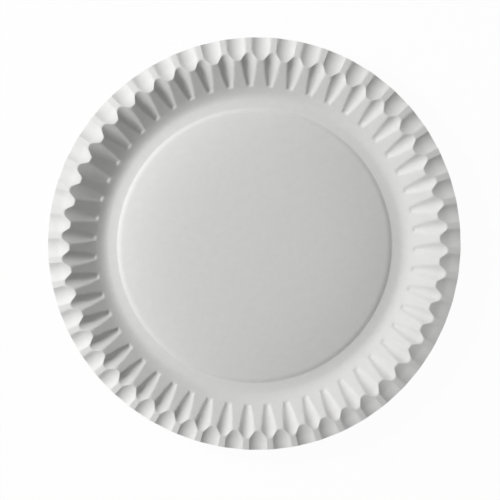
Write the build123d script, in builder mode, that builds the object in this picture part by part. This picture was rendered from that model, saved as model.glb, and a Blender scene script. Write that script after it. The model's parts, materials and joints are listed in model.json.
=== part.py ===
from build123d import *

import os
from math import cos, pi, radians, sin, sqrt, tan

# Round fluted paper plate, pressed from one disc of board: one sheet, one solid.
#
# The board runs from a flat middle panel with a falling border over a small step to the flat foot ring
# it stands on, up a coved wall to the shoulder, and down again over a shallow rim to its cut edge.
# Flutes take up the board's spare length: a creased groove in the wall faces every land of the rim, and
# a round channel in the rim faces every land of the wall, so the shoulder runs round as a zigzag ridge.
# Between the creases the board lies flat, so the wall has as many sides as there are flutes.
#
# One slice of the plate, from crease to crease, is modelled once and repeated around the middle. The
# board is everywhere what is left between two pressed forms: all that lies under its upper face, less
# all that lies under its lower face. The lower form comes from the same function, with the thickness as
# its inset.

# Driving dimensions, in millimetres and degrees
PLATE_DIAMETER = 230.0
BOARD_THICKNESS = 0.45
SHOULDER_HEIGHT = 15.75  # upper face of the board where wall and rim would meet without flutes
RIM_WIDTH = 10.95  # from that shoulder out to the cut edge
WALL_ANGLE = 38.5  # rise of the wall above the table
RIM_ANGLE = 6.0  # fall of the rim towards the edge
COVE_RADIUS = 10.7  # upper face, between foot ring and wall
COVE_BENDS = 3
FOOT_RING_WIDTH = 4.2
STEP_WIDTH = 2.2
STEP_HEIGHT = 0.75
PANEL_BORDER_WIDTH = 18.0  # ring of the panel that falls from its flat middle to the step
PANEL_BORDER_FALL = 1.8

FLUTE_COUNT = 51
GROOVE_FLANK_ANGLE = 31.0  # rise of each flank from the crease
GROOVE_TOE_GAP = 0.3  # up the wall, from the cove to the groove's toe
GROOVE_TOE_LENGTH = 2.2  # up the wall, over the small ramp that leads into the groove
GROOVE_TOE_DEPTH = 0.8  # square to the wall, where the ramp meets the crease
GROOVE_REACH = 3.45  # how far past the shoulder the crease runs out on the rim
CHANNEL_RADIUS = 8.5
CHANNEL_EDGE_DEPTH = 1.6  # below the rim, at the cut edge
CHANNEL_REACH = 0.95  # how far inside the shoulder the channel runs out on the wall
OVERRUN = 1.5  # how far the forms and the cutting solids run past the board

# Derived sizes
edge_radius = PLATE_DIAMETER / 2
shoulder_radius = edge_radius - RIM_WIDTH
wall_angle = radians(WALL_ANGLE)
rim_angle = radians(RIM_ANGLE)
cove_tangent = COVE_RADIUS * tan(wall_angle / 2)
wall_foot_radius = shoulder_radius - (SHOULDER_HEIGHT - BOARD_THICKNESS) / tan(wall_angle)
cove_end_radius = wall_foot_radius + cove_tangent * cos(wall_angle)
foot_outer_radius = wall_foot_radius - cove_tangent
foot_inner_radius = foot_outer_radius - FOOT_RING_WIDTH
foot_middle_radius = (foot_inner_radius + foot_outer_radius) / 2
panel_radius = foot_inner_radius - STEP_WIDTH
flat_radius = panel_radius - PANEL_BORDER_WIDTH
half_pitch = 180 / FLUTE_COUNT
half_slice = edge_radius * tan(pi / FLUTE_COUNT)


def wall_point(radius, depth=0.0):
    """A point of the half section on the wall's upper face, or that deep below it."""
    height = SHOULDER_HEIGHT - (shoulder_radius - radius) * tan(wall_angle)
    return Vector(radius, 0, height) + Vector(sin(wall_angle), 0, -cos(wall_angle)) * depth


def rim_point(radius, drop=0.0):
    """A point of the half section on the rim's upper face, or straight below it."""
    height = SHOULDER_HEIGHT - (radius - shoulder_radius) * tan(rim_angle)
    return Vector(radius, 0, height - drop)


def cove_point(angle, depth=0.0):
    """A point of the half section on the cove's upper face where it slopes that much, or that deep below."""
    centre = Vector(foot_outer_radius, 0, BOARD_THICKNESS + COVE_RADIUS)
    return centre + Vector(sin(angle), 0, -cos(angle)) * (COVE_RADIUS + depth)


def shoulder_point(depth=0.0):
    """Where wall and rim would meet in the half section, or where they meet that deep below."""
    lean = (depth / cos(wall_angle) - depth / cos(rim_angle)) / (tan(wall_angle) + tan(rim_angle))
    return rim_point(shoulder_radius + lean, depth / cos(rim_angle))


def groove_tool(inset):
    """What one wall groove cuts away: a V along its crease, closed at the toe by a small ramp."""
    toe_radius = cove_end_radius + GROOVE_TOE_GAP
    toe = wall_point(toe_radius)
    ramp_end = wall_point(toe_radius + GROOVE_TOE_LENGTH * cos(wall_angle), GROOVE_TOE_DEPTH)
    run_out = rim_point(shoulder_radius + GROOVE_REACH)
    crease = run_out - ramp_end
    across = Vector(0, 1, 0)
    square_up = crease.cross(across).normalized()
    ramp_up = (ramp_end - toe).cross(across).normalized()

    flank = radians(GROOVE_FLANK_ANGLE)
    sink = inset / cos(flank)
    top = square_up.dot(shoulder_point() - run_out) + OVERRUN
    half_width = (top + sink) / tan(flank)
    start = ramp_end - crease.normalized() * (GROOVE_TOE_LENGTH + OVERRUN)
    with BuildPart() as groove:
        with BuildSketch(Plane(start, x_dir=across, z_dir=crease)):
            with BuildLine():
                Polyline((0, -sink), (half_width, top), (-half_width, top), close=True)
            make_face()
        extrude(amount=GROOVE_TOE_LENGTH + crease.length + 2 * OVERRUN)
        split(bisect_by=Plane(toe - ramp_up * inset, x_dir=across, z_dir=ramp_up), keep=Keep.TOP)
    return groove.part


def channel_tool(inset):
    """What one rim channel cuts away: a round trough from its tip on the wall out past the cut edge."""
    tip = wall_point(shoulder_radius - CHANNEL_REACH)
    floor_line = rim_point(edge_radius, CHANNEL_EDGE_DEPTH) - tip
    start = tip - floor_line.normalized() * 2 * OVERRUN
    top = CHANNEL_EDGE_DEPTH + OVERRUN
    half_width = sqrt((CHANNEL_RADIUS + inset) ** 2 - (CHANNEL_RADIUS - top) ** 2)
    with BuildPart() as channel:
        with BuildSketch(Plane(start, x_dir=(0, 1, 0), z_dir=floor_line)):
            with BuildLine():
                ThreePointArc((-half_width, top), (0, -inset), (half_width, top))
                Line((half_width, top), (-half_width, top))
            make_face()
        extrude(amount=floor_line.length + 4 * OVERRUN)
    return channel.part


def slice_form(inset, start, base):
    """One slice of all that lies under the board's upper face, or inset below it, down to a base."""
    bends = [wall_angle * step / COVE_BENDS for step in range(COVE_BENDS + 1)]
    rim_end = rim_point(edge_radius + OVERRUN, inset / cos(rim_angle))
    surface = [Vector(start, 0, BOARD_THICKNESS - inset)]
    surface += [cove_point(angle, inset) for angle in bends]
    surface += [shoulder_point(inset), rim_end]
    outline = [(point.X, point.Z) for point in surface]
    groove = groove_tool(inset)
    channel = channel_tool(inset)
    with BuildPart() as form:
        with BuildSketch(Plane.XZ):
            with BuildLine():
                Polyline((start, base), *outline, (rim_end.X, base), close=True)
            make_face()
        extrude(amount=half_slice + OVERRUN, both=True)
        add(groove.rotate(Axis.Z, half_pitch), mode=Mode.SUBTRACT)
        add(groove.rotate(Axis.Z, -half_pitch), mode=Mode.SUBTRACT)
        add(channel, mode=Mode.SUBTRACT)
    return form.part


def middle_form(inset, reach, base):
    """The panel, step and inner half of the foot ring, as all that lies under them down to a base."""
    foot = BOARD_THICKNESS - inset
    border = foot + STEP_HEIGHT
    flat = border + PANEL_BORDER_FALL
    with BuildPart() as form:
        with BuildSketch(Plane.XY.offset(base)):
            RegularPolygon(reach, FLUTE_COUNT, major_radius=False)
        extrude(amount=foot - base)
        with BuildSketch(Plane.XZ):
            with BuildLine():
                Polyline((0, base), (0, flat), (flat_radius, flat), (panel_radius, border))
                Polyline((panel_radius, border), (foot_inner_radius, foot), (foot_inner_radius, base))
                Line((foot_inner_radius, base), (0, base))
            make_face()
        revolve(axis=Axis.Z)
    return form.part


slice_upper = slice_form(0, foot_middle_radius, -OVERRUN)
slice_lower = slice_form(BOARD_THICKNESS, foot_middle_radius - OVERRUN, -2 * OVERRUN)
with BuildPart() as fluted_slice:
    add(slice_upper)
    add(slice_lower, mode=Mode.SUBTRACT)
    with BuildSketch(Plane.XY):
        with BuildLine():
            corner = Vector(edge_radius, 0).rotate(Axis.Z, half_pitch)
            ThreePointArc((corner.X, -corner.Y), (edge_radius, 0), (corner.X, corner.Y))
            Polyline((corner.X, corner.Y), (0, 0), (corner.X, -corner.Y))
        make_face()
    extrude(amount=2 * SHOULDER_HEIGHT, both=True, mode=Mode.INTERSECT)

middle_upper = middle_form(0, foot_middle_radius, -OVERRUN)
middle_lower = middle_form(BOARD_THICKNESS, foot_middle_radius + OVERRUN, -2 * OVERRUN)
with BuildPart() as middle:
    add(middle_upper)
    add(middle_lower, mode=Mode.SUBTRACT)

with BuildPart() as paper_plate:
    add(middle.part)
    with PolarLocations(0, FLUTE_COUNT, start_angle=half_pitch):
        add(fluted_slice.part)

os.makedirs("parts", exist_ok=True)
paper_plate.part.label = "paper_plate"
export_step(paper_plate.part, "parts/paper_plate.step")
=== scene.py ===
"""Round fluted paper plate: the pressed board with its paper finish, on a plain white stage."""

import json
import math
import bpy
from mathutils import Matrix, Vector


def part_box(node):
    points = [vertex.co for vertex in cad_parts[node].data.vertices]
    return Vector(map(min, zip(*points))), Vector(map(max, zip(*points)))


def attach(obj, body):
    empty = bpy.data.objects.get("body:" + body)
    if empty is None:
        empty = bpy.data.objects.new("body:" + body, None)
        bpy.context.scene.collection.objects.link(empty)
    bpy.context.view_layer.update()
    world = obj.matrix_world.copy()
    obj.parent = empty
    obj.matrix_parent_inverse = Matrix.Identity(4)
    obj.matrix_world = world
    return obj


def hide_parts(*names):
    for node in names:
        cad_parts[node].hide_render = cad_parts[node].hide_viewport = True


bl_info = {
    "name": "Fluted Paper Plate",
    "version": (1, 0, 0),
    "blender": (4, 5, 0),
    "location": "3D View > Sidebar > Paper Plate",
    "description": "Presses a round paper plate with a fluted rim and sets up the stage it is shown on",
    "category": "Add Mesh",
}

import bpy
from bpy.props import FloatProperty, FloatVectorProperty, IntProperty, PointerProperty
from mathutils import Euler, Vector

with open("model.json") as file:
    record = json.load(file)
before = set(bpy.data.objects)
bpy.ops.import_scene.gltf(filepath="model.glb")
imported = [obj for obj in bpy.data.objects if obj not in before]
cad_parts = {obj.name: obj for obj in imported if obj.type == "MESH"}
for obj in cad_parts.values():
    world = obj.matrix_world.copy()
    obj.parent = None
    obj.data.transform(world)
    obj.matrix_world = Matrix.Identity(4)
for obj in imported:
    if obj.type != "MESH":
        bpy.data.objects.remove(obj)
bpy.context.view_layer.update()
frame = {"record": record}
CAD_LOW, CAD_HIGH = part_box("paper_plate")
CAD_DIAMETER = CAD_HIGH.x - CAD_LOW.x
BOARD_COLOUR = frame["record"]["materials"][0]["base_color"]

MILLIMETRE = 0.001
IMAGE_PIXELS = 500
SENSOR_WIDTH = 36.0  # in millimetres, as Blender counts sensors and lenses
FLOOR_SIZE = 6.0
WHITE = (1.0, 1.0, 1.0, 1.0)
SHARP_ANGLE = math.radians(26.0)  # faces that meet at more than this show a sharp edge
BELOW_SHEET = -1.0  # the pressed sheet is the upper face, and the thickness lies below it


class PressedBoard(bpy.types.PropertyGroup):
    """Sizes of the pressed board, on its upper face."""

    diameter: FloatProperty(
        name="Diameter",
        description="Across the cut edge",
        default=CAD_DIAMETER,
        unit="LENGTH",
    )
    thickness: FloatProperty(
        name="Board Thickness",
        description="Thickness of the paper board",
        default=0.45 * MILLIMETRE,
        precision=5,
        unit="LENGTH",
    )
    shoulder_height: FloatProperty(
        name="Shoulder Height",
        description="Height at which wall and rim would meet without flutes",
        default=16.0 * MILLIMETRE,
        precision=5,
        unit="LENGTH",
    )
    rim_width: FloatProperty(
        name="Rim Width",
        description="From the shoulder out to the cut edge",
        default=11.0 * MILLIMETRE,
        precision=5,
        unit="LENGTH",
    )
    wall_angle: FloatProperty(
        name="Wall Angle",
        description="Rise of the wall above the table",
        default=math.radians(40.0),
        subtype="ANGLE",
    )
    rim_angle: FloatProperty(
        name="Rim Angle",
        description="Fall of the rim towards the cut edge",
        default=math.radians(6.5),
        subtype="ANGLE",
    )
    cove_width: FloatProperty(
        name="Cove Width",
        description="Width of the bend between foot ring and wall, along the radius",
        default=11.0 * MILLIMETRE,
        precision=5,
        unit="LENGTH",
    )
    foot_width: FloatProperty(
        name="Foot Ring Width",
        description="Width of the ring that the plate stands on",
        default=4.6 * MILLIMETRE,
        precision=5,
        unit="LENGTH",
    )
    foot_fall: FloatProperty(
        name="Foot Ring Fall",
        description="How far the foot ring falls towards the wall",
        default=0.2 * MILLIMETRE,
        precision=5,
        unit="LENGTH",
    )
    step_width: FloatProperty(
        name="Step Width",
        description="Width of the small step around the panel",
        default=3.1 * MILLIMETRE,
        precision=5,
        unit="LENGTH",
    )
    step_height: FloatProperty(
        name="Step Height",
        description="Height of the small step around the panel",
        default=0.68 * MILLIMETRE,
        precision=5,
        unit="LENGTH",
    )
    border_width: FloatProperty(
        name="Border Width",
        description="Width of the ring of the panel that rolls down to the step",
        default=59.0 * MILLIMETRE,
        precision=5,
        unit="LENGTH",
    )
    border_fall: FloatProperty(
        name="Border Fall",
        description="How far the panel rolls down to the step",
        default=3.3 * MILLIMETRE,
        precision=5,
        unit="LENGTH",
    )
    trim_offset: FloatProperty(
        name="Trim Offset",
        description="How far the cut edge lies off the centre of the pressed form",
        default=1.02 * MILLIMETRE,
        precision=5,
        unit="LENGTH",
    )
    trim_direction: FloatProperty(
        name="Trim Direction",
        description="Direction in which the cut edge lies off centre",
        default=math.radians(68.0),
        subtype="ANGLE",
    )
    trim_wave: FloatProperty(
        name="Trim Wave",
        description="How far the cut edge is out of round, in three waves around the plate",
        default=0.4 * MILLIMETRE,
        precision=5,
        unit="LENGTH",
    )
    wave_direction: FloatProperty(
        name="Wave Direction",
        description="Direction of one crest of those waves",
        default=math.radians(53.0),
        subtype="ANGLE",
    )


class RimFlutes(bpy.types.PropertyGroup):
    """Grooves of the wall and channels of the rim."""

    count: IntProperty(
        name="Flutes",
        description="Number of grooves, and of channels between them",
        default=51,
        min=3,
    )
    flank_angle: FloatProperty(
        name="Groove Flank Angle",
        description="Rise of each flank from the crease of a groove",
        default=math.radians(39.0),
        subtype="ANGLE",
    )
    spacing_drift: FloatProperty(
        name="Spacing Drift",
        description="How far the flutes stray from even spacing around the plate",
        default=math.radians(1.1),
        subtype="ANGLE",
    )
    drift_direction: FloatProperty(
        name="Drift Direction",
        description="Side of the plate where the flutes stray most",
        default=math.radians(155.2),
        subtype="ANGLE",
    )
    toe_reach: FloatProperty(
        name="Toe Reach",
        description="From the foot ring out to the toe of a groove",
        default=7.0 * MILLIMETRE,
        precision=5,
        unit="LENGTH",
    )
    toe_run: FloatProperty(
        name="Toe Run",
        description="Length of the ramp at the toe of a groove, along the radius",
        default=1.5 * MILLIMETRE,
        precision=5,
        unit="LENGTH",
    )
    toe_rise: FloatProperty(
        name="Toe Rise",
        description="Rise of the ramp at the toe of a groove",
        default=0.12 * MILLIMETRE,
        precision=5,
        unit="LENGTH",
    )
    groove_reach: FloatProperty(
        name="Groove Reach",
        description="How far past the shoulder a groove runs out on the rim",
        default=3.7 * MILLIMETRE,
        precision=5,
        unit="LENGTH",
    )
    channel_radius: FloatProperty(
        name="Channel Radius",
        description="Radius of the round section of a channel",
        default=8.7 * MILLIMETRE,
        precision=5,
        unit="LENGTH",
    )
    channel_depth: FloatProperty(
        name="Channel Depth",
        description="Depth of a channel below the rim, outside its bend",
        default=1.62 * MILLIMETRE,
        precision=5,
        unit="LENGTH",
    )
    channel_reach: FloatProperty(
        name="Channel Reach",
        description="How far inside the shoulder a channel runs out on the wall",
        default=0.8 * MILLIMETRE,
        precision=5,
        unit="LENGTH",
    )
    channel_bend: FloatProperty(
        name="Channel Bend",
        description="How far past the shoulder a channel bends towards the cut edge",
        default=5.0 * MILLIMETRE,
        precision=5,
        unit="LENGTH",
    )
    groove_softness: FloatProperty(
        name="Groove Softness",
        description="How softly the flanks of a groove turn into the wall",
        default=0.9 * MILLIMETRE,
        precision=5,
        unit="LENGTH",
    )
    crease_bow: FloatProperty(
        name="Crease Bow",
        description="How far the crease of a groove bows up from a straight line",
        default=0.35 * MILLIMETRE,
        precision=5,
        unit="LENGTH",
    )
    crease_softness: FloatProperty(
        name="Crease Softness",
        description="Half the width of the round floor of a groove, at its widest",
        default=3.4 * MILLIMETRE,
        precision=5,
        unit="LENGTH",
    )
    ridge_softness: FloatProperty(
        name="Ridge Softness",
        description="How softly wall and rim turn into each other",
        default=0.6 * MILLIMETRE,
        precision=5,
        unit="LENGTH",
    )
    unevenness: FloatProperty(
        name="Unevenness",
        description="How much the depth of the flutes differs from one to the next",
        default=0.1 * MILLIMETRE,
        precision=5,
        unit="LENGTH",
    )
    seed: IntProperty(
        name="Seed",
        description="Start of the random numbers behind the unevenness",
        default=7,
    )


class PaperFinish(bpy.types.PropertyGroup):
    """Colours and grain of the paper, and the painted light on its rim."""

    colour: FloatVectorProperty(
        name="Board Colour",
        description="Colour of the bare board",
        default=BOARD_COLOUR,
        subtype="COLOR",
    )
    cloud_shade: FloatProperty(
        name="Cloud Shade",
        description="How much darker the board is where its fibres lie thin",
        default=0.08,
        subtype="FACTOR",
    )
    fleck_shade: FloatProperty(
        name="Fleck Shade",
        description="How much darker the stray fibres in the board are",
        default=0.05,
        subtype="FACTOR",
    )
    # Painted light: the rim's colour is made lighter to stand in for the extra light it gets; the board
    # itself is no lighter there.
    painted_rim_light: FloatProperty(
        name="Painted Rim Light",
        description="How much lighter the board is on the rim than in the well",
        default=0.07,
        subtype="FACTOR",
    )
    roughness: FloatProperty(
        name="Roughness",
        description="Roughness of the uncoated paper",
        default=0.74,
        subtype="FACTOR",
    )
    grain_height: FloatProperty(
        name="Grain Height",
        description="Height of the fine grain of the paper",
        default=0.03 * MILLIMETRE,
        precision=6,
        unit="LENGTH",
    )


class WhiteStage(bpy.types.PropertyGroup):
    """Camera, lamp and floor."""

    view_width: FloatProperty(
        name="View Width",
        description="Width of the picture at the height of the rim",
        default=278.6 * MILLIMETRE,
        unit="LENGTH",
    )
    view_turn: FloatProperty(
        name="View Turn",
        description="How far the plate is turned in the picture",
        default=math.radians(6.65),
        subtype="ANGLE",
    )
    view_distance: FloatProperty(
        name="View Distance",
        description="From the camera down to the rim",
        default=1.9,
        unit="LENGTH",
    )
    plate_pixel: FloatVectorProperty(
        name="Plate Pixel",
        description="Middle of the plate in the picture, in pixels from its upper left corner",
        default=(254.6, 245.35),
        size=2,
    )
    key_azimuth: FloatProperty(
        name="Key Azimuth",
        description="Direction of the key lamp in the picture, from the right and counter-clockwise",
        default=math.radians(159.5),
        subtype="ANGLE",
    )
    key_elevation: FloatProperty(
        name="Key Elevation",
        description="Height of the key lamp above the table, as an angle",
        default=math.radians(38.5),
        subtype="ANGLE",
    )
    key_distance: FloatProperty(
        name="Key Distance",
        description="From the plate to the key lamp",
        default=1.07,
        unit="LENGTH",
    )
    key_size: FloatProperty(
        name="Key Size",
        description="Side of the square key lamp",
        default=0.15,
        unit="LENGTH",
    )
    key_power: FloatProperty(
        name="Key Power",
        description="Power of the key lamp",
        default=9.1,
        unit="POWER",
    )
    fill_light: FloatProperty(
        name="Fill Light",
        description="Strength of the even light from all around",
        default=0.155,
    )
    floor_colour: FloatVectorProperty(
        name="Floor Colour",
        description="Colour of the plain floor",
        default=(0.86, 0.86, 0.86),
        subtype="COLOR",
    )
    floor_white: FloatProperty(
        name="Floor White",
        description="Share of plain white in the floor as the camera sees it",
        default=0.97,
        subtype="FACTOR",
    )


class Wire:
    """One output of a node. Arithmetic on wires adds Math nodes to their tree."""

    def __init__(self, bench, socket):
        self.bench = bench
        self.socket = socket

    def math(self, operation, *operands):
        wires = self.bench.add("ShaderNodeMath", {"operation": operation}, dict(enumerate(operands)))
        return wires["Value"]

    def __add__(self, other):
        return self.math("ADD", self, other)

    def __sub__(self, other):
        return self.math("SUBTRACT", self, other)

    def __rsub__(self, other):
        return self.math("SUBTRACT", other, self)

    def __mul__(self, other):
        return self.math("MULTIPLY", self, other)

    def __truediv__(self, other):
        return self.math("DIVIDE", self, other)

    def __rtruediv__(self, other):
        return self.math("DIVIDE", other, self)

    def __abs__(self):
        return self.math("ABSOLUTE", self)

    __radd__ = __add__
    __rmul__ = __mul__

    def sine(self):
        return self.math("SINE", self)

    def cosine(self):
        return self.math("COSINE", self)

    def root(self):
        return self.math("SQRT", self)

    def floor(self):
        return self.math("FLOOR", self)

    def fraction(self):
        return self.math("FRACT", self)

    def modulo(self, other):
        return self.math("FLOORED_MODULO", self, other)

    def lower(self, other, softness=0.0):
        """The lower of two values, with a soft turn from one to the other if a softness is given."""
        if softness:
            return self.math("SMOOTH_MIN", self, other, softness)
        return self.math("MINIMUM", self, other)

    def upper(self, other, softness=0.0):
        """The upper of two values, with a soft turn from one to the other if a softness is given."""
        if softness:
            return self.math("SMOOTH_MAX", self, other, softness)
        return self.math("MAXIMUM", self, other)

    def clamped(self):
        """Kept between nought and one."""
        return self.upper(0.0).lower(1.0)


class Bench:
    """A node tree under construction."""

    def __init__(self, tree):
        self.tree = tree

    @staticmethod
    def pick(sockets, key):
        """The socket in use with that name or number."""
        in_use = [socket for socket in sockets if socket.enabled]
        if isinstance(key, int):
            return in_use[key]
        return next(socket for socket in in_use if socket.name == key)

    def add(self, kind, settings=None, sockets=None):
        """Adds a node: its type, its settings, then the values or links of its sockets.

        Gives the wires of its outputs by their names.
        """
        node = self.tree.nodes.new(kind)
        for name, value in (settings or {}).items():
            setattr(node, name, value)
        for key, value in (sockets or {}).items():
            target = self.pick(node.inputs, key)
            if isinstance(value, Wire):
                self.tree.links.new(value.socket, target)
            else:
                target.default_value = value
        return {socket.name: Wire(self, socket) for socket in node.outputs if socket.enabled}


def cleared_bench(block):
    """A bench on the emptied nodes of a material or a world."""
    block.use_nodes = True
    block.node_tree.nodes.clear()
    return Bench(block.node_tree)


PANEL_ROWS = 1
BORDER_ROWS = 9
STEP_ROWS = 8
FOOT_ROWS = 2
COVE_ROWS = 6
TOE_ROWS = 8
WALL_ROWS = 8
RIDGE_ROWS = 8
RIM_ROWS = 8
INNER_ROWS = PANEL_ROWS + BORDER_ROWS + STEP_ROWS + FOOT_ROWS
SHEET_ROWS = INNER_ROWS + COVE_ROWS + TOE_ROWS + WALL_ROWS + RIDGE_ROWS + RIM_ROWS
COLUMNS_PER_FLUTE = 16
STEP_FOOT = 0.4 * MILLIMETRE  # past the step, where its foot is rounded
TOE_START = 0.4 * MILLIMETRE  # inside the toe, where a band of close rows starts
TOE_BAND = 4.0 * MILLIMETRE  # width of that band
RIDGE_BAND = 2.4 * MILLIMETRE  # width of the band of close rows along the ridge
OPENING_BAND = 8.0 * MILLIMETRE  # beyond the toe, over which a groove opens to its full width
MERGE_DISTANCE = 0.02 * MILLIMETRE  # joins the two sides of the sheet, and its points in the middle
CHANNEL_SOFTNESS = 0.05 * MILLIMETRE
BEND_SOFTNESS = 0.12 * MILLIMETRE
STEP_SOFTNESS = 0.15 * MILLIMETRE
TOE_CRISPNESS = 0.35  # share of a groove's softness that is left at its toe
TOE_STOP = 4.0  # slope at which a groove ends inside its toe
TRIM_WAVES = 3
CHANNEL_DRAWS = 0  # added to the seed for the channels
GROOVE_DRAWS = 1  # added to the seed for the grooves
FULL_TURN = 2 * math.pi


def line_height(point, slope, place):
    """Height of a sloping line through a point of the half section, over a place along the radius."""
    return point[1] + (place - point[0]) * slope


def slope_between(start, end):
    """Slope of the line from one point of the half section to another."""
    return (end[1] - start[1]) / (end[0] - start[0])


def upright(slope):
    """Height straight up that makes one unit square to a line of that slope."""
    return (slope * slope + 1.0).root()


def cove_height(beyond, width, slope):
    """Rise of cove and wall beyond the foot ring. The cove bends less and less up to the wall."""
    left = 1.0 - (beyond / width).clamped()
    cove = (1.0 - left) - (1.0 - left * left * left) / 3.0
    return cove * width * slope + (beyond - width).upper(0.0) * slope


def rounded(across, softness):
    """Distance from a crease, less by half the softness beyond the round floor of that half width."""
    floor = across.lower(softness)
    return floor * floor / (softness * 2.0) + across - floor


def softness_share(opened):
    """Share of a groove's softness, from what is left at the toe up to the whole of it."""
    return opened * (1.0 - TOE_CRISPNESS) + TOE_CRISPNESS


def rows_over(row, zones):
    """Radius of a row of the sheet. Each zone has a width along the radius and a number of rows."""
    radius = 0.0
    first = 0
    for width, count in zones:
        radius = radius + ((row - first) / count).clamped() * width
        first += count
    return radius


class HalfSection:
    """Places, slopes and heights of the board's upper face. A point is a radius and a height."""

    def __init__(self, size):
        self.size = size
        self.shoulder = (size["Shoulder Radius"], size["Shoulder Height"])
        self.rim_slope = 0.0 - size["Rim Slope"]

        # Places along the radius, from the wall inwards. The cove starts a third of its width inside the
        # place where the wall would meet the foot ring.
        climb = size["Shoulder Height"] - size["Board Thickness"]
        wall_foot = size["Shoulder Radius"] - climb / size["Wall Slope"]
        self.foot_outer = wall_foot - size["Cove Width"] / 3.0
        self.foot_inner = self.foot_outer - size["Foot Width"]
        self.panel_edge = self.foot_inner - size["Step Width"]
        self.flat_edge = self.panel_edge - size["Border Width"]

        # The groove: its toe, the end of its ramp, the end of its crease, and the slopes between them
        toe_height = size["Board Thickness"] + self.wall_rise(size["Toe Reach"])
        self.toe = (self.foot_outer + size["Toe Reach"], toe_height)
        self.ramp_end = (self.toe[0] + size["Toe Run"], toe_height + size["Toe Rise"])
        self.run_out = self.rim_point(size["Groove Reach"])
        self.ramp_slope = size["Toe Rise"] / size["Toe Run"]
        self.crease_slope = slope_between(self.ramp_end, self.run_out)
        self.flank_rise = size["Flank Slope"] * upright(self.crease_slope)

        # The channel: its tip on the wall, its bend on the rim, and the slope between them
        tip_radius = size["Shoulder Radius"] - size["Channel Reach"]
        self.tip = (tip_radius, line_height(self.shoulder, size["Wall Slope"], tip_radius))
        bend_radius, bend_top = self.rim_point(size["Channel Bend"])
        self.bend = (bend_radius, bend_top - size["Channel Depth"])
        self.scoop_slope = slope_between(self.tip, self.bend)

    def wall_rise(self, beyond):
        """Rise of cove and wall without flutes, that far beyond the foot ring."""
        return cove_height(beyond, self.size["Cove Width"], self.size["Wall Slope"])

    def rim_point(self, reach):
        """The point of the rim without flutes that far past the shoulder."""
        radius = self.shoulder[0] + reach
        return radius, line_height(self.shoulder, self.rim_slope, radius)

    def channel_rise(self, across):
        """Rise of the round section beside the middle of a channel."""
        channel_radius = self.size["Channel Radius"]
        left = channel_radius * channel_radius - across * across
        return channel_radius - left.upper(0.0).root()

    def ridge_radius(self, from_groove, from_channel):
        """Radius at which the lower of wall and groove meets the lower of rim and channel."""
        size = self.size
        shoulder_radius = self.shoulder[0]
        groove_across = rounded(from_groove.sine() * shoulder_radius, size["Crease Softness"])
        groove_rise = groove_across * self.flank_rise
        channel_rise = self.channel_rise(from_channel.sine() * shoulder_radius)
        scoop_rise = channel_rise * upright(self.scoop_slope)
        wall_to_channel = self.tip[0] + scoop_rise / (size["Wall Slope"] - self.scoop_slope)
        groove_to_rim = self.run_out[0] - groove_rise / (self.crease_slope - self.rim_slope)
        groove_to_channel = (
            self.tip[1] - self.run_out[1] - self.tip[0] * self.scoop_slope
            + self.run_out[0] * self.crease_slope + scoop_rise - groove_rise
        ) / (self.crease_slope - self.scoop_slope)
        wall_meets = shoulder_radius.lower(wall_to_channel)
        groove_meets = groove_to_rim.lower(groove_to_channel)
        return wall_meets.upper(groove_meets)

    def row_radius(self, row, ridge, trim_edge):
        """Radius of a row of the sheet, with one row along the ridge and the last on the cut edge."""
        size = self.size
        wall_start = self.toe[0] - TOE_START + TOE_BAND
        return rows_over(row, [
            (self.flat_edge, PANEL_ROWS),
            (size["Border Width"], BORDER_ROWS),
            (size["Step Width"] + STEP_FOOT, STEP_ROWS),
            (size["Foot Width"] - STEP_FOOT, FOOT_ROWS),
            (size["Toe Reach"] - TOE_START, COVE_ROWS),
            (TOE_BAND, TOE_ROWS),
            (ridge - RIDGE_BAND / 2 - wall_start, WALL_ROWS),
            (RIDGE_BAND, RIDGE_ROWS),
            (trim_edge - ridge - RIDGE_BAND / 2, RIM_ROWS),
        ])

    def plain_height(self, radius):
        """Height of the panel, step, foot ring, cove and wall without flutes."""
        size = self.size
        rolled = ((radius - self.flat_edge) / (self.foot_inner - self.flat_edge)).upper(0.0)
        rolled_square = rolled * rolled
        stepped = ((radius - self.panel_edge) / size["Step Width"]).upper(0.0)
        border_rise = (1.0 - rolled_square * rolled_square) * size["Border Fall"]
        step_rise = (1.0 - stepped * stepped) * size["Step Height"]
        panel_rise = (border_rise + step_rise).upper(0.0, STEP_SOFTNESS)
        wall_rise = self.wall_rise((radius - self.foot_outer).upper(0.0))
        foot_rise = ((self.foot_outer - radius) / size["Foot Width"]).clamped() * size["Foot Fall"]
        return size["Board Thickness"] + panel_rise + foot_rise + wall_rise

    def wall_height(self, radius, from_groove, uneven):
        """Height inside the ridge, with the grooves pressed in."""
        size = self.size
        along = from_groove.cosine() * radius
        risen = ((along - self.ramp_end[0]) / (self.run_out[0] - self.ramp_end[0])).clamped()
        bow = risen * (1.0 - risen) * 4.0  # one halfway along the crease, nought at its ends
        crease = line_height(self.run_out, self.crease_slope, along) + uneven
        crease = crease + bow * bow * size["Crease Bow"]
        opened = ((along - self.toe[0]) / OPENING_BAND).clamped()
        floor_softness = size["Crease Softness"] * softness_share(opened)
        groove = crease + rounded(from_groove.sine() * radius, floor_softness) * self.flank_rise
        groove = groove.upper(line_height(self.toe, self.ramp_slope, along), BEND_SOFTNESS)
        groove = groove + (self.toe[0] - along).upper(0.0) * TOE_STOP
        return self.plain_height(radius).lower(groove, size["Groove Softness"] * softness_share(risen))

    def rim_height(self, radius, from_channel, uneven):
        """Height outside the ridge, with the channels pressed in."""
        along = from_channel.cosine() * radius
        rise = self.channel_rise(from_channel.sine() * radius)
        scoop = line_height(self.bend, self.scoop_slope, along) + rise * upright(self.scoop_slope)
        trough = line_height(self.bend, self.rim_slope, along) + rise * upright(self.rim_slope)
        channel = scoop.upper(trough, BEND_SOFTNESS) + uneven
        return line_height(self.shoulder, self.rim_slope, radius).lower(channel, CHANNEL_SOFTNESS)


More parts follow.
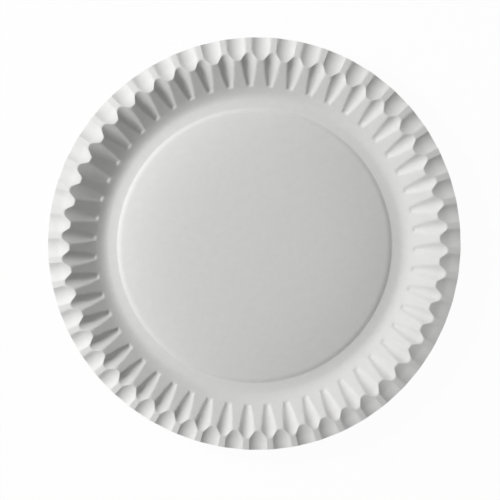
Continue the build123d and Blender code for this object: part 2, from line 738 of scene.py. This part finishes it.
def board_inputs(board, flutes):
    """Named inputs of the pressed board's tree, with their values."""
    return {
        "Edge Radius": board.diameter / 2,
        "Shoulder Radius": board.diameter / 2 - board.rim_width,
        "Shoulder Height": board.shoulder_height,
        "Board Thickness": board.thickness,
        "Wall Slope": math.tan(board.wall_angle),
        "Rim Slope": math.tan(board.rim_angle),
        "Cove Width": board.cove_width,
        "Foot Width": board.foot_width,
        "Foot Fall": board.foot_fall,
        "Step Width": board.step_width,
        "Step Height": board.step_height,
        "Border Width": board.border_width,
        "Border Fall": board.border_fall,
        "Trim Offset": board.trim_offset,
        "Trim Direction": board.trim_direction,
        "Trim Wave": board.trim_wave,
        "Wave Direction": board.wave_direction,
        "Flutes": flutes.count,
        "Flank Slope": math.tan(flutes.flank_angle),
        "Spacing Drift": flutes.spacing_drift,
        "Drift Direction": flutes.drift_direction,
        "Toe Reach": flutes.toe_reach,
        "Toe Run": flutes.toe_run,
        "Toe Rise": flutes.toe_rise,
        "Groove Reach": flutes.groove_reach,
        "Channel Radius": flutes.channel_radius,
        "Channel Depth": flutes.channel_depth,
        "Channel Reach": flutes.channel_reach,
        "Channel Bend": flutes.channel_bend,
        "Groove Softness": flutes.groove_softness,
        "Crease Bow": flutes.crease_bow,
        "Crease Softness": flutes.crease_softness,
        "Ridge Softness": flutes.ridge_softness,
        "Unevenness": flutes.unevenness,
        "Seed": flutes.seed,
    }


def tree_with_inputs(title, values):
    """A geometry tree with one named input for every value."""
    tree = bpy.data.node_groups.new(title, "GeometryNodeTree")
    for name, value in values.items():
        kind = "NodeSocketInt" if isinstance(value, int) else "NodeSocketFloat"
        tree.interface.new_socket(name=name, in_out="INPUT", socket_type=kind)
    tree.interface.new_socket(name="Geometry", in_out="OUTPUT", socket_type="NodeSocketGeometry")
    return tree


def uneven_height(bench, size, number, draws):
    """A small height that differs from one flute to the next."""
    draw = bench.add(
        "FunctionNodeRandomValue",
        {"data_type": "FLOAT"},
        {"Min": -1.0, "Max": 1.0, "ID": number.modulo(size["Flutes"]), "Seed": size["Seed"] + draws},
    )
    return draw["Value"] * size["Unevenness"]


def end_tree(bench, sheet, pressed, paper):
    """Presses the points of the sheet into place, joins its sides and gives it the paper."""
    steps = (
        ("GeometryNodeSetPosition", {"Position": pressed}),
        ("GeometryNodeMergeByDistance", {"Distance": MERGE_DISTANCE}),
        ("GeometryNodeSetShadeSmooth", {}),
        ("GeometryNodeRealizeInstances", {}),
        ("GeometryNodeSetMaterial", {"Material": paper}),
    )
    geometry = sheet
    for kind, sockets in steps:
        geometry = bench.add(kind, sockets={"Geometry": geometry, **sockets})["Geometry"]
    bench.add("NodeGroupOutput", sockets={"Geometry": geometry})


def press_tree(values, paper):
    """The tree that lays out a flat sheet as a disc and presses it to shape."""
    tree = tree_with_inputs("Pressed board", values)
    bench = Bench(tree)
    size = bench.add("NodeGroupInput")
    section = HalfSection(size)

    # Rows run along the radius and columns around the axis, both counted on a grid one metre square
    columns = size["Flutes"] * COLUMNS_PER_FLUTE
    sheet = bench.add(
        "GeometryNodeMeshGrid",
        sockets={"Size X": 1.0, "Size Y": 1.0, "Vertices X": SHEET_ROWS + 1, "Vertices Y": columns + 1},
    )["Mesh"]
    position = bench.add("GeometryNodeInputPosition")["Position"]
    place = bench.add("ShaderNodeSeparateXYZ", sockets={0: position})
    row = (place["X"] + 0.5) * SHEET_ROWS
    around = place["Y"] + 0.5
    even_angle = around * FULL_TURN
    angle = even_angle + (even_angle - size["Drift Direction"]).cosine() * size["Spacing Drift"]

    # Grooves lie on whole flute numbers, channels halfway between them
    flute = around * size["Flutes"]
    pitch = FULL_TURN / size["Flutes"]
    from_channel = abs(flute.fraction() - 0.5) * pitch
    from_groove = pitch * 0.5 - from_channel
    channel_uneven = uneven_height(bench, size, flute.floor(), CHANNEL_DRAWS)
    groove_uneven = uneven_height(bench, size, (flute + 0.5).floor(), GROOVE_DRAWS)

    # The cut edge lies a little off centre and is a little out of round
    trim_edge = size["Edge Radius"] + (angle - size["Trim Direction"]).cosine() * size["Trim Offset"]
    trim_edge = trim_edge + ((angle - size["Wave Direction"]) * TRIM_WAVES).cosine() * size["Trim Wave"]

    ridge = section.ridge_radius(from_groove, from_channel)
    radius = section.row_radius(row, ridge, trim_edge)
    wall = section.wall_height(radius, from_groove, groove_uneven)
    rim = section.rim_height(radius, from_channel, channel_uneven)
    height = wall.lower(rim, size["Ridge Softness"])
    pressed = bench.add(
        "ShaderNodeCombineXYZ",
        sockets={"X": angle.cosine() * radius, "Y": angle.sine() * radius, "Z": height},
    )["Vector"]
    end_tree(bench, sheet, pressed, paper)
    return tree


CLOUD_NOISE = {"Scale": 240.0, "Detail": 5.0, "Roughness": 0.62}
GRAIN_NOISE = {"Scale": 1500.0, "Detail": 3.0, "Roughness": 0.6}
FIBRE_NOISE = {"Scale": 420.0, "Detail": 2.0, "Roughness": 0.5}
FIBRE_LAYERS = ((0.4, 0.0), (1.5, 0.31), (2.6, 0.62))  # turn and start of each layer of stray fibres
FIBRE_STRETCH = (1.0, 9.0, 1.0)
FIBRE_CUTOFF = 0.66  # noise above which a stray fibre shows
FIBRE_GAIN = 9.0  # how quickly it shows above that
NOISE_MIDDLE = 0.5
CLOUD_CLEAR = 0.3  # noise at which a cloud leaves the board's colour as it is
CLOUD_RELIEF = 0.8  # height of the clouds, against that of the grain
FLECK_RELIEF = 0.3  # height of the stray fibres, against that of the grain
ROUGHNESS_SPREAD = 0.12
SPECULAR_LEVEL = 0.35
# Painted light on the rim: the radius where it starts and the band over which it comes in.
PAINTED_LIGHT_START = 103.0 * MILLIMETRE
PAINTED_LIGHT_BAND = 5.0 * MILLIMETRE


def noise(bench, spot, sockets):
    """A noise texture over a place."""
    return bench.add("ShaderNodeTexNoise", sockets={"Vector": spot, **sockets})["Fac"]


def stray_fibres(bench, spot):
    """Thin streaks that lie across each other in several directions."""
    flecks = 0.0
    for turn, start in FIBRE_LAYERS:
        laid = bench.add(
            "ShaderNodeMapping",
            sockets={
                "Vector": spot,
                "Location": (start, start, 0.0),
                "Rotation": (0.0, 0.0, turn),
                "Scale": FIBRE_STRETCH,
            },
        )["Vector"]
        flecks = flecks + ((noise(bench, laid, FIBRE_NOISE) - FIBRE_CUTOFF) * FIBRE_GAIN).clamped()
    return flecks


def paper_material(finish):
    """Matt uncoated board: clouds where its fibres lie thin, stray fibres and a fine grain, with painted
    light that makes the rim lighter.
    """
    material = bpy.data.materials.new("Uncoated board")
    bench = cleared_bench(material)
    spot = bench.add("ShaderNodeTexCoord")["Object"]
    clouds = noise(bench, spot, CLOUD_NOISE)
    grain = noise(bench, spot, GRAIN_NOISE)
    flecks = stray_fibres(bench, spot)

    place = bench.add("ShaderNodeSeparateXYZ", sockets={0: spot})
    radius = (place["X"] * place["X"] + place["Y"] * place["Y"]).root()
    # Painted light: the colour is made lighter on the rim, in a band outside the ridge, to stand in for
    # light; the clouds, flecks and grain below are the paper's own tone.
    painted_light_on_rim = ((radius - PAINTED_LIGHT_START) / PAINTED_LIGHT_BAND).clamped()
    tone_and_painted_light = 1.0 + painted_light_on_rim * finish.painted_rim_light - flecks * finish.fleck_shade
    tone_and_painted_light = tone_and_painted_light - (clouds - CLOUD_CLEAR) * finish.cloud_shade
    tone_and_painted_light = tone_and_painted_light - (grain - NOISE_MIDDLE) * finish.cloud_shade
    tone_and_painted_light_colours = bench.add("ShaderNodeCombineColor", sockets={"Red": tone_and_painted_light, "Green": tone_and_painted_light, "Blue": tone_and_painted_light})
    colour = bench.add(
        "ShaderNodeMix",
        {"data_type": "RGBA", "blend_type": "MULTIPLY"},
        {"Factor": 1.0, "A": (*finish.colour, 1.0), "B": tone_and_painted_light_colours["Color"]},
    )["Result"]
    bumps = grain + clouds * CLOUD_RELIEF + flecks * FLECK_RELIEF
    relief = bench.add(
        "ShaderNodeBump",
        sockets={"Strength": 1.0, "Distance": finish.grain_height, "Height": bumps},
    )["Normal"]
    surface = bench.add(
        "ShaderNodeBsdfPrincipled",
        sockets={
            "Base Color": colour,
            "Roughness": finish.roughness + (clouds - NOISE_MIDDLE) * ROUGHNESS_SPREAD,
            "Specular IOR Level": SPECULAR_LEVEL,
            "Normal": relief,
        },
    )["BSDF"]
    bench.add("ShaderNodeOutputMaterial", sockets={"Surface": surface})
    return material


def seen_directly(bench):
    """One where the camera looks, straight or in a reflection or through glass, and nought elsewhere."""
    path = bench.add("ShaderNodeLightPath")
    return path["Is Camera Ray"].upper(path["Is Glossy Ray"]).upper(path["Is Transmission Ray"])


class PLATE_OT_press_board(bpy.types.Operator):
    """Press the paper plate from one sheet of board"""

    bl_idname = "plate.press_board"
    bl_label = "Press Board"

    def execute(self, context):
        board = context.scene.pressed_board
        values = board_inputs(board, context.scene.rim_flutes)
        tree = press_tree(values, paper_material(context.scene.paper_finish))
        plate = bpy.data.objects.new("plate_board", bpy.data.meshes.new("Plate board"))
        context.scene.collection.objects.link(plate)

        press = plate.modifiers.new("Press", "NODES")
        press.node_group = tree
        for item in tree.interface.items_tree:
            if item.in_out == "INPUT":
                press[item.identifier] = values[item.name]
        thicken = plate.modifiers.new("Thickness", "SOLIDIFY")
        thicken.thickness = board.thickness
        thicken.offset = BELOW_SHEET
        thicken.use_even_offset = True
        thicken.use_quality_normals = True

        context.view_layer.update()
        evaluated = plate.evaluated_get(context.evaluated_depsgraph_get())
        pressed = bpy.data.meshes.new_from_object(evaluated)
        if not pressed.polygons:
            raise RuntimeError("the pressed board has no faces")
        plate.modifiers.clear()
        plate.data = pressed
        pressed.name = "Plate board"
        pressed.set_sharp_from_angle(angle=SHARP_ANGLE)

        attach(plate, "root")
        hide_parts("paper_plate")
        return {"FINISHED"}


class PLATE_OT_set_stage(bpy.types.Operator):
    """Set up the camera, the key lamp, the even light and the white floor"""

    bl_idname = "plate.set_stage"
    bl_label = "Set Stage"

    def execute(self, context):
        scene = context.scene
        stage = scene.white_stage
        self.place_camera(scene, stage)
        self.place_key(scene, stage)
        self.lay_floor(scene, stage)
        self.light_world(scene, stage)
        scene.view_settings.view_transform = "Standard"
        return {"FINISHED"}

    def place_camera(self, scene, stage):
        """Looks straight down on the plate, turned and moved as the picture shows it."""
        optics = bpy.data.cameras.new("Camera")
        optics.sensor_width = SENSOR_WIDTH
        optics.lens = optics.sensor_width * stage.view_distance / stage.view_width
        camera = bpy.data.objects.new("Camera", optics)
        pixel = stage.view_width / IMAGE_PIXELS
        across = (stage.plate_pixel[0] - IMAGE_PIXELS / 2) * pixel
        up = (IMAGE_PIXELS / 2 - stage.plate_pixel[1]) * pixel
        turn = Euler((0.0, 0.0, -stage.view_turn))
        aside = Vector((-across, -up, 0.0))
        aside.rotate(turn)
        camera.location = aside + Vector((0.0, 0.0, CAD_HIGH.z + stage.view_distance))
        camera.rotation_euler = turn
        scene.collection.objects.link(camera)
        scene.camera = camera

    def place_key(self, scene, stage):
        """A lamp from one side, which models the flutes."""
        lamp = bpy.data.lights.new("Key", "AREA")
        lamp.shape = "SQUARE"
        lamp.size = stage.key_size
        lamp.energy = stage.key_power
        key = bpy.data.objects.new("Key", lamp)
        azimuth = stage.key_azimuth - stage.view_turn
        flat = math.cos(stage.key_elevation)
        rise = math.sin(stage.key_elevation)
        towards = Vector((flat * math.cos(azimuth), flat * math.sin(azimuth), rise))
        key.location = towards * stage.key_distance
        key.rotation_euler = towards.to_track_quat("Z", "Y").to_euler()
        scene.collection.objects.link(key)

    def lay_floor(self, scene, stage):
        """A plain floor, nearly white to the camera, that keeps a trace of the plate's shadow."""
        half = FLOOR_SIZE / 2
        mesh = bpy.data.meshes.new("Floor")
        corners = [(-half, -half, 0.0), (half, -half, 0.0), (half, half, 0.0), (-half, half, 0.0)]
        mesh.from_pydata(corners, [], [(0, 1, 2, 3)])
        floor = bpy.data.objects.new("Floor", mesh)
        scene.collection.objects.link(floor)
        material = bpy.data.materials.new("White floor")
        bench = cleared_bench(material)
        pale = bench.add("ShaderNodeBsdfDiffuse", sockets={"Color": (*stage.floor_colour, 1.0)})["BSDF"]
        white = bench.add("ShaderNodeEmission", sockets={"Strength": 1.0})["Emission"]
        share = seen_directly(bench) * stage.floor_white
        mixed = bench.add("ShaderNodeMixShader", sockets={0: share, 1: pale, 2: white})["Shader"]
        bench.add("ShaderNodeOutputMaterial", sockets={"Surface": mixed})
        mesh.materials.append(material)

    def light_world(self, scene, stage):
        """Even light from all around, white where the camera sees it."""
        world = bpy.data.worlds.new("White room")
        bench = cleared_bench(world)
        seen = seen_directly(bench)
        strength = seen + (1.0 - seen) * stage.fill_light
        light = bench.add("ShaderNodeBackground", sockets={"Color": WHITE, "Strength": strength})
        bench.add("ShaderNodeOutputWorld", sockets={"Surface": light["Background"]})
        scene.world = world


class PLATE_PT_panel(bpy.types.Panel):
    """Lists the steps that make the plate and its stage"""

    bl_label = "Paper Plate"
    bl_space_type = "VIEW_3D"
    bl_region_type = "UI"
    bl_category = "Paper Plate"

    def draw(self, context):
        scene = context.scene
        steps = (
            (PLATE_OT_press_board, (scene.pressed_board, scene.rim_flutes, scene.paper_finish)),
            (PLATE_OT_set_stage, (scene.white_stage,)),
        )
        for operator, groups in steps:
            box = self.layout.box()
            for group in groups:
                for name in group.__annotations__:
                    box.prop(group, name)
            box.operator(operator.bl_idname)


SETTINGS = {
    "pressed_board": PressedBoard,
    "rim_flutes": RimFlutes,
    "paper_finish": PaperFinish,
    "white_stage": WhiteStage,
}
CLASSES = (*SETTINGS.values(), PLATE_OT_press_board, PLATE_OT_set_stage, PLATE_PT_panel)


def register():
    for cls in CLASSES:
        bpy.utils.register_class(cls)
    for name, group in SETTINGS.items():
        setattr(bpy.types.Scene, name, PointerProperty(type=group))


def unregister():
    for name in SETTINGS:
        delattr(bpy.types.Scene, name)
    for cls in reversed(CLASSES):
        bpy.utils.unregister_class(cls)


def main():
    register()
    bpy.ops.plate.press_board()
    bpy.ops.plate.set_stage()


if __name__ == "__main__":
    main()
